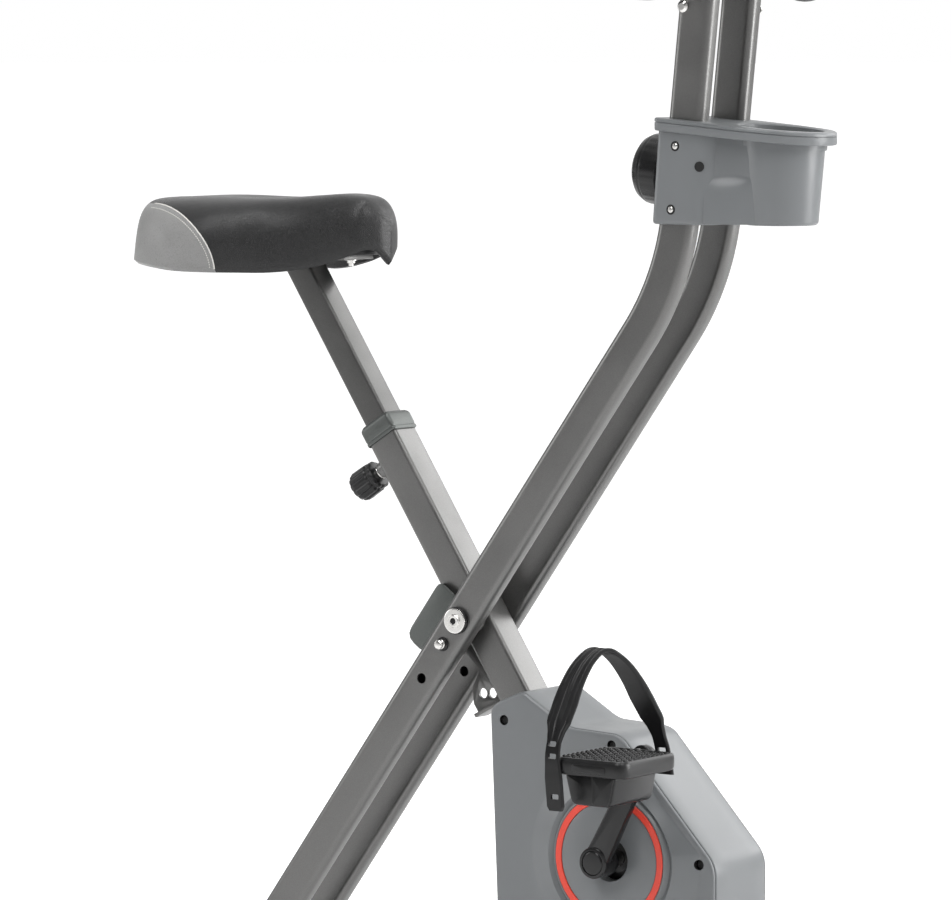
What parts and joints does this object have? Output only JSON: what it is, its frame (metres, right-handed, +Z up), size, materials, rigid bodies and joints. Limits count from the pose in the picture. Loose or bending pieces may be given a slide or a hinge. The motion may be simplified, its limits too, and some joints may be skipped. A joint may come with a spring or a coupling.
{
  "type": "folding exercise bike",
  "caption": "Folding upright exercise bike with an X-shaped frame, crank housing, toe-strap pedals, padded saddle, handlebar, console, tension knob and cup holder.",
  "frame": {"origin": "middle of the open bike's footprint, on the floor", "axes": "+Z up, +X the way the rider faces, +Y to the rider's left"},
  "size_m": [0.8284, 0.4786, 1.2408],
  "materials": {
    "frame_paint": "metallic grey powder coat",
    "post_paint": "dark grey satin paint",
    "grey_plastic": "fine-grained grey moulding",
    "black_plastic": "black moulding",
    "black_rubber": "matt black rubber",
    "foam": "closed-cell foam sleeve",
    "seat_cover": "grained synthetic leather",
    "zinc": "bright zinc plate",
    "cast_iron": "turned iron",
    "red_plastic": "red trim",
    "screen": "clear window over a display"
  },
  "bodies": {
    "front_frame": {"leg_tube": "frame_paint", "seat_collar": "black_plastic", "lock_bracket": "frame_paint", "front_foot_bar": "frame_paint", "front_foot_cap_right": "black_rubber", "front_foot_cap_left": "black_rubber", "crank_shell": "frame_paint", "crank_bearing_right": "cast_iron", "crank_bearing_left": "cast_iron", "housing_band": "grey_plastic", "housing_right": "grey_plastic", "housing_left": "grey_plastic", "ring_right": "red_plastic", "ring_left": "red_plastic", "flywheel_bracket": "frame_paint", "flywheel_axle": "zinc", "drive_belt": "black_rubber"},
    "rear_frame": {"right_tube": "frame_paint", "left_tube": "frame_paint", "stop_bracket": "frame_paint", "pivot_bolt": "zinc", "pivot_nut": "zinc", "lock_pin_end": "zinc", "plunger_sleeve": "zinc", "head_bracket": "black_plastic", "head_screw_right": "zinc", "head_screw_left": "zinc", "handlebar": "black_plastic", "grip_right": "foam", "grip_left": "foam", "pulse_sensor_right": "zinc", "pulse_sensor_left": "zinc", "console_shell": "black_plastic", "console_screen": "screen", "cup_holder": "grey_plastic", "rear_foot_bar": "frame_paint", "rear_foot_cap_right": "black_rubber", "rear_foot_cap_left": "black_rubber"},
    "seat": {"seat_post": "post_paint", "seat_plate": "frame_paint", "saddle_shell": "black_plastic", "saddle_pad": "seat_cover"},
    "seat_knob": {"seat_knob": "black_plastic"},
    "lock_plunger": {"lock_plunger": "black_plastic"},
    "crank": {"crank_axle": "zinc", "drive_pulley": "black_plastic", "crank_right": "black_plastic", "crank_left": "black_plastic"},
    "pedal_right": {"pedal_right": "black_plastic", "strap_right": "black_rubber"},
    "pedal_left": {"pedal_left": "black_plastic", "strap_left": "black_rubber"},
    "flywheel": {"flywheel": "cast_iron", "flywheel_pinion": "black_plastic"},
    "magnet_shoe": {"magnet_shoe": "cast_iron"},
    "tension_knob": {"tension_knob": "black_plastic"},
    "wheel_right": {"wheel_right": "black_rubber"},
    "wheel_left": {"wheel_left": "black_rubber"},
    "button_1": {"console_button_1": "red_plastic"},
    "button_2": {"console_button_2": "red_plastic"}
  },
  "joints": [
    {"name": "frame_fold", "type": "hinge", "parent": "front_frame", "child": "rear_frame", "pos_m": [-0.00225, 0, 0.515], "axis": [0, -1, 0], "range_deg": [0, 36]},
    {"name": "plunger_pull", "type": "slide", "parent": "rear_frame", "child": "lock_plunger", "axis": [0, 1, 0], "range_m": [0, 0.036]},
    {"name": "seat_height", "type": "slide", "parent": "front_frame", "child": "seat", "axis": [-0.5446, 0, 0.8387], "range_m": [-0.1, 0.06]},
    {"name": "seat_knob_pull", "type": "slide", "parent": "front_frame", "child": "seat_knob", "axis": [-0.8387, 0, -0.5446], "range_m": [0, 0.008], "stiffness_N_per_m": 500},
    {"name": "flywheel_spin", "type": "hinge", "parent": "front_frame", "child": "flywheel", "pos_m": [0.16775, 0, 0.185], "axis": [0, 1, 0], "continuous": true},
    {"name": "crank_spin", "type": "hinge", "parent": "front_frame", "child": "crank", "pos_m": [0.19475, 0, 0.286], "axis": [0, 1, 0], "continuous": true},
    {"name": "pedal_right_spin", "type": "hinge", "parent": "crank", "child": "pedal_right", "pos_m": [0.25359, -0.147, 0.39855], "axis": [0, 1, 0], "continuous": true},
    {"name": "pedal_left_spin", "type": "hinge", "parent": "crank", "child": "pedal_left", "pos_m": [0.13591, 0.147, 0.17345], "axis": [0, 1, 0], "continuous": true},
    {"name": "tension_turn", "type": "hinge", "parent": "rear_frame", "child": "tension_knob", "pos_m": [0.26872, 0, 0.97577], "axis": [-0.9945, 0, 0.1045], "range_deg": [0, 300]},
    {"name": "shoe_swing", "type": "hinge", "parent": "front_frame", "child": "magnet_shoe", "pos_m": [0.15575, 0, 0.275], "axis": [0, -1, 0], "range_deg": [0, 7.5]},
    {"name": "wheel_right_spin", "type": "hinge", "parent": "front_frame", "child": "wheel_right", "pos_m": [0.36671, -0.184, 0.034], "axis": [0, 1, 0], "continuous": true},
    {"name": "wheel_left_spin", "type": "hinge", "parent": "front_frame", "child": "wheel_left", "pos_m": [0.36671, 0.184, 0.034], "axis": [0, 1, 0], "continuous": true},
    {"name": "button_1_press", "type": "slide", "parent": "rear_frame", "child": "button_1", "axis": [0.6691, 0, -0.7431], "range_m": [0, 0.0015], "stiffness_N_per_m": 300},
    {"name": "button_2_press", "type": "slide", "parent": "rear_frame", "child": "button_2", "axis": [0.6691, 0, -0.7431], "range_m": [0, 0.0015], "stiffness_N_per_m": 300}
  ],
  "couplings": [
    {"joint": "plunger_pull", "follows": "frame_fold", "m_per_rad": 0.057},
    {"joint": "crank_spin", "follows": "flywheel_spin", "ratio": 0.19231},
    {"joint": "shoe_swing", "follows": "tension_turn", "ratio": 0.025}
  ]
}
